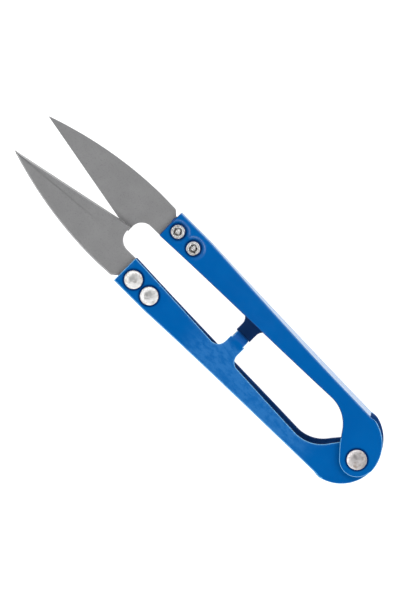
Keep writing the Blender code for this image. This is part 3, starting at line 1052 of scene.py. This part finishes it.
def blade_material():
    """Matt ground steel: fine even grit with faint long grinding lines and a few small marks."""
    nodes = Nodes("ground_steel")
    grit = nodes.noise(9.0, 3.0, 0.7)
    lines = nodes.noise(5.0, 3.0, 0.6, (0.04, 1.0, 1.0))
    tone = nodes.remap(nodes.noise(0.25, 4.0), 0.3, 0.7, 0.0, 1.0)
    cloud = nodes.mix_colour(tone, (0.355, 0.355, 0.36), (0.385, 0.385, 0.39))
    grain = nodes.remap(nodes.noise(3.2, 4.0, 0.75), 0.52, 0.7, 0.0, 1.0)
    nodes.link(nodes.mix_colour(grain, cloud, (0.29, 0.29, 0.3)), nodes.shader.inputs["Base Color"])
    nodes.link(nodes.remap(grit, 0.3, 0.7, 0.42, 0.56), nodes.shader.inputs["Roughness"])
    nodes.bump([(lines, 0.006), (grit, 0.01)])
    nodes.set(Metallic=1.0)
    return nodes.material


def rivet_material(name, bright, dull, marking):
    """Bright nickel plating with tumbling marks and a slight warm tone in soft patches."""
    nodes = Nodes(name)
    marks = nodes.noise(1.6, 4.0, 0.6)
    stain = nodes.remap(nodes.noise(0.45, 4.0, 0.7), 0.48, 0.66, 0.0, 1.0)
    nodes.link(nodes.mix_colour(stain, bright, dull), nodes.shader.inputs["Base Color"])
    nodes.link(nodes.remap(marks, 0.3, 0.7, 0.36, 0.52), nodes.shader.inputs["Roughness"])
    nodes.bump([(marks, marking), (nodes.noise(5.0, 3.0), 0.008)])
    nodes.set(Metallic=1.0)
    return nodes.material


def bore_shade_material():
    """Painted shade in the split bore of a rivet's tail: a dark colour standing in for the shade of its
    hollows.
    """
    nodes = Nodes("bore_shade")
    patches = nodes.remap(nodes.noise(2.2, 4.0), 0.4, 0.65, 0.0, 1.0)
    colour = nodes.mix_colour(patches, (0.05, 0.047, 0.045), (0.25, 0.23, 0.21))
    nodes.link(colour, nodes.shader.inputs["Base Color"])
    nodes.link(nodes.remap(nodes.noise(3.0, 3.0), 0.3, 0.7, 0.4, 0.65), nodes.shader.inputs["Roughness"])
    nodes.bump([(nodes.noise(4.0, 3.0), 0.02)])
    nodes.set(Metallic=0.7)
    return nodes.material


def wire_material():
    """Drawn spring wire with lengthwise draw marks and a little oil darkening."""
    nodes = Nodes("drawn_wire")
    tone = nodes.remap(nodes.noise(0.8, 4.0), 0.35, 0.7, 0.0, 1.0)
    colour = nodes.mix_colour(tone, (0.36, 0.36, 0.38), (0.24, 0.23, 0.22))
    nodes.link(colour, nodes.shader.inputs["Base Color"])
    nodes.link(nodes.remap(nodes.noise(2.5, 4.0), 0.3, 0.7, 0.24, 0.42), nodes.shader.inputs["Roughness"])
    nodes.bump([(nodes.noise(6.0, 2.0), 0.008)])
    nodes.set(Metallic=1.0)
    return nodes.material


# ---------------------------------------------------------------- pieces

def make_handles():
    """Both handles; their materials are in the order OUTSIDE, INSIDE, RIM, BEND: the inside one is painted
    shade, the rim one painted highlights, and the bend one a little darker as painted shade.
    """
    deep, pale = (0.0002, 0.082, 0.3), (0.0004, 0.09, 0.32)
    # painted sheen on the left handle: a lighter colour standing in for the reflection of a soft light
    sheen = {"left": (0.018, 0.132, 0.38), "right": None}
    # painted shade: the channel's inside faces and the lower plate's edges in a much darker blue
    inside_shade = (0.0, 0.03, 0.13), (0.001, 0.04, 0.165)
    inner = paint_material("blue_enamel_inside_shade", *inside_shade, 0.45, 0.02, shine=0.2)
    # painted shade: the hook's matt paint is a little darker than the plates'
    matt = (0.0, 0.072, 0.29), (0.0, 0.08, 0.32)
    bend = paint_material("blue_enamel_bend_shade", *matt, 0.6, 0.02, shine=0.15)
    # painted highlight: a light blue on the cut edges' outer rounding and along the upper fold
    bright = (0.06, 0.29, 0.56), (0.09, 0.32, 0.6)
    rim = paint_material("blue_enamel_edge_highlight", *bright, 0.2, 0.01)
    for side in ("left", "right"):
        mesh = handle_mesh(list(RIVETS[side].values()), LOWER_REACH[side])
        outer = paint_material("blue_enamel_" + side, deep, pale, 0.16, 0.02, side, sheen[side])
        piece = place(side + "_folded_handle", mesh, side)
        finish_piece(piece, side + "_handle", [outer, inner, rim, bend])
        weighted = piece.modifiers.new("even_shading", "WEIGHTED_NORMAL")
        weighted.keep_sharp = False


def make_blades():
    steel = blade_material()
    mesh = blade_mesh()
    for side in ("left", "right"):
        piece = place(side + "_ground_blade", mesh, side, blade_turn(side))
        finish_piece(piece, side + "_blade", [steel])


def make_rivets():
    """The blade rivets, with materials in the order PLATED, WORN and the bore's painted shade, and the pivot
    rivet.
    """
    nickel = rivet_material("nickel", (0.58, 0.575, 0.57), (0.4, 0.36, 0.33), 0.08)
    warm = rivet_material("warm_nickel", (0.55, 0.525, 0.525), (0.34, 0.29, 0.26), 0.04)
    worn = rivet_material("worn_nickel", (0.52, 0.515, 0.515), (0.28, 0.26, 0.24), 0.14)
    bore_shade = bore_shade_material()
    seed = 1.0
    for side in ("left", "right"):
        for where, place_xy in RIVETS[side].items():
            centre = Matrix.Translation((*place_xy, 0.0))
            piece = place(f"{side}_clinched_rivet_{where}", blade_rivet_mesh(seed), side, centre)
            finish_piece(piece, f"{side}_blade_rivet_{where}", [nickel, worn, bore_shade])
            seed += 1.7
    pivot = place("domed_pivot_rivet", pivot_rivet_mesh(), "left")
    finish_piece(pivot, "pivot_rivet", [warm])


def make_spring():
    spring = torsion_spring()
    finish_piece(spring, "torsion_spring", [wire_material()])


# ---------------------------------------------------------------- studio

LIGHT_AZIMUTHS = (45.0, 135.0, 225.0, 315.0)
LIGHT_ELEVATION = 42.0
LIGHT_DISTANCE = 0.8
LIGHT_SIZE = 0.5
LIGHT_POWER = 0.2
ROOM_LIGHT = 0.5
RING_LIGHT = 3.0
RING_LOW = (22.0, 30.0)
RING_HIGH = (40.0, 48.0)
DARK_DIRECTION = (98.0, 82.0)
DARK_CORE = 11.0
DARK_EDGE = 26.0
FLOOR_COLOUR = 0.35
FLOOR_GLOW = 0.95
CAMERA_TILT = 7.86
CAMERA_TILT_AZIMUTH = -82.1
CAMERA_UP_AZIMUTH = -45.1
CAMERA_DISTANCE = 0.8
CAMERA_TARGET = Vector((48.68 * MM, 0.26 * MM, 0.0))
CAMERA_LENS = 218.3


def make_camera():
    """A long lens, tilted a little off straight down, with its picture's up towards CAMERA_UP_AZIMUTH."""
    tilt, turn = math.radians(CAMERA_TILT), math.radians(CAMERA_TILT_AZIMUTH)
    towards = Vector((math.sin(tilt) * math.cos(turn), math.sin(tilt) * math.sin(turn), math.cos(tilt)))
    upright = math.radians(CAMERA_UP_AZIMUTH)
    rough_up = Vector((math.cos(upright), math.sin(upright), 0.0))
    up = (rough_up - towards * rough_up.dot(towards)).normalized()
    right = up.cross(towards)
    target = PIVOT + CAMERA_TARGET
    data = bpy.data.cameras.new("camera")
    data.lens = CAMERA_LENS
    data.clip_start = 0.01
    camera = bpy.data.objects.new("camera", data)
    bpy.context.scene.collection.objects.link(camera)
    rotation = Matrix((right, up, towards)).transposed().to_4x4()
    camera.matrix_world = Matrix.Translation(target + towards * CAMERA_DISTANCE) @ rotation
    bpy.context.scene.camera = camera


def make_floor():
    """A plain white table that also lights the object's sides from below."""
    bpy.ops.mesh.primitive_plane_add(size=6.0, location=(0.0, 0.0, -0.0002))
    floor = bpy.context.object
    floor.name = "floor"
    material = bpy.data.materials.new("white_table")
    material.use_nodes = True
    shader = material.node_tree.nodes["Principled BSDF"]
    shader.inputs["Base Color"].default_value = (FLOOR_COLOUR, FLOOR_COLOUR, FLOOR_COLOUR, 1.0)
    shader.inputs["Roughness"].default_value = 0.9
    shader.inputs["Emission Color"].default_value = (1.0, 1.0, 1.0, 1.0)
    shader.inputs["Emission Strength"].default_value = FLOOR_GLOW
    floor.data.materials.append(material)


def direction(azimuth, elevation):
    """The unit vector towards an azimuth and elevation in degrees."""
    flat, rise = math.radians(azimuth), math.radians(elevation)
    return Vector((math.cos(rise) * math.cos(flat), math.cos(rise) * math.sin(flat), math.sin(rise)))


def make_light(name, azimuth):
    """A soft square light aimed at the middle of the object."""
    data = bpy.data.lights.new(name, "AREA")
    data.shape = "SQUARE"
    data.size = LIGHT_SIZE
    data.energy = LIGHT_POWER
    light = bpy.data.objects.new(name, data)
    bpy.context.scene.collection.objects.link(light)
    towards = direction(azimuth, LIGHT_ELEVATION)
    light.location = towards * LIGHT_DISTANCE
    light.rotation_euler = towards.to_track_quat("Z", "Y").to_euler()


def make_lights():
    for azimuth in LIGHT_AZIMUTHS:
        make_light(f"soft_light_{azimuth:.0f}", azimuth)


def make_world():
    """A white room with a ring of soft boxes, dark in a patch nearly overhead, as round a camera."""
    world = bpy.data.worlds.new("studio")
    world.use_nodes = True
    tree = world.node_tree
    seen = tree.nodes.new("ShaderNodeTexCoord").outputs["Generated"]
    split = tree.nodes.new("ShaderNodeSeparateXYZ")
    tree.links.new(seen, split.inputs["Vector"])
    close = tree.nodes.new("ShaderNodeVectorMath")
    close.operation = "DOT_PRODUCT"
    close.inputs[1].default_value = direction(*DARK_DIRECTION)
    tree.links.new(seen, close.inputs[0])
    low, high = [[math.sin(math.radians(angle)) for angle in pair] for pair in (RING_LOW, RING_HIGH)]
    rise = ramp(tree, split.outputs["Z"], *low, 0.0, RING_LIGHT)
    fall = ramp(tree, split.outputs["Z"], *high, 1.0, 0.0)
    room = combine(tree, "ADD", combine(tree, "MULTIPLY", rise, fall), ROOM_LIGHT)
    core, edge = math.cos(math.radians(DARK_CORE)), math.cos(math.radians(DARK_EDGE))
    open_part = ramp(tree, close.outputs["Value"], edge, core, 1.0, 0.0)
    strength = combine(tree, "MULTIPLY", room, open_part)
    background = tree.nodes["Background"]
    tree.links.new(strength, background.inputs["Strength"])
    background.inputs["Color"].default_value = (1.0, 1.0, 1.0, 1.0)
    bpy.context.scene.world = world
    bpy.context.scene.view_settings.view_transform = "Standard"


make_camera()
make_handles()
make_blades()
make_rivets()
make_spring()
make_floor()
make_lights()
make_world()
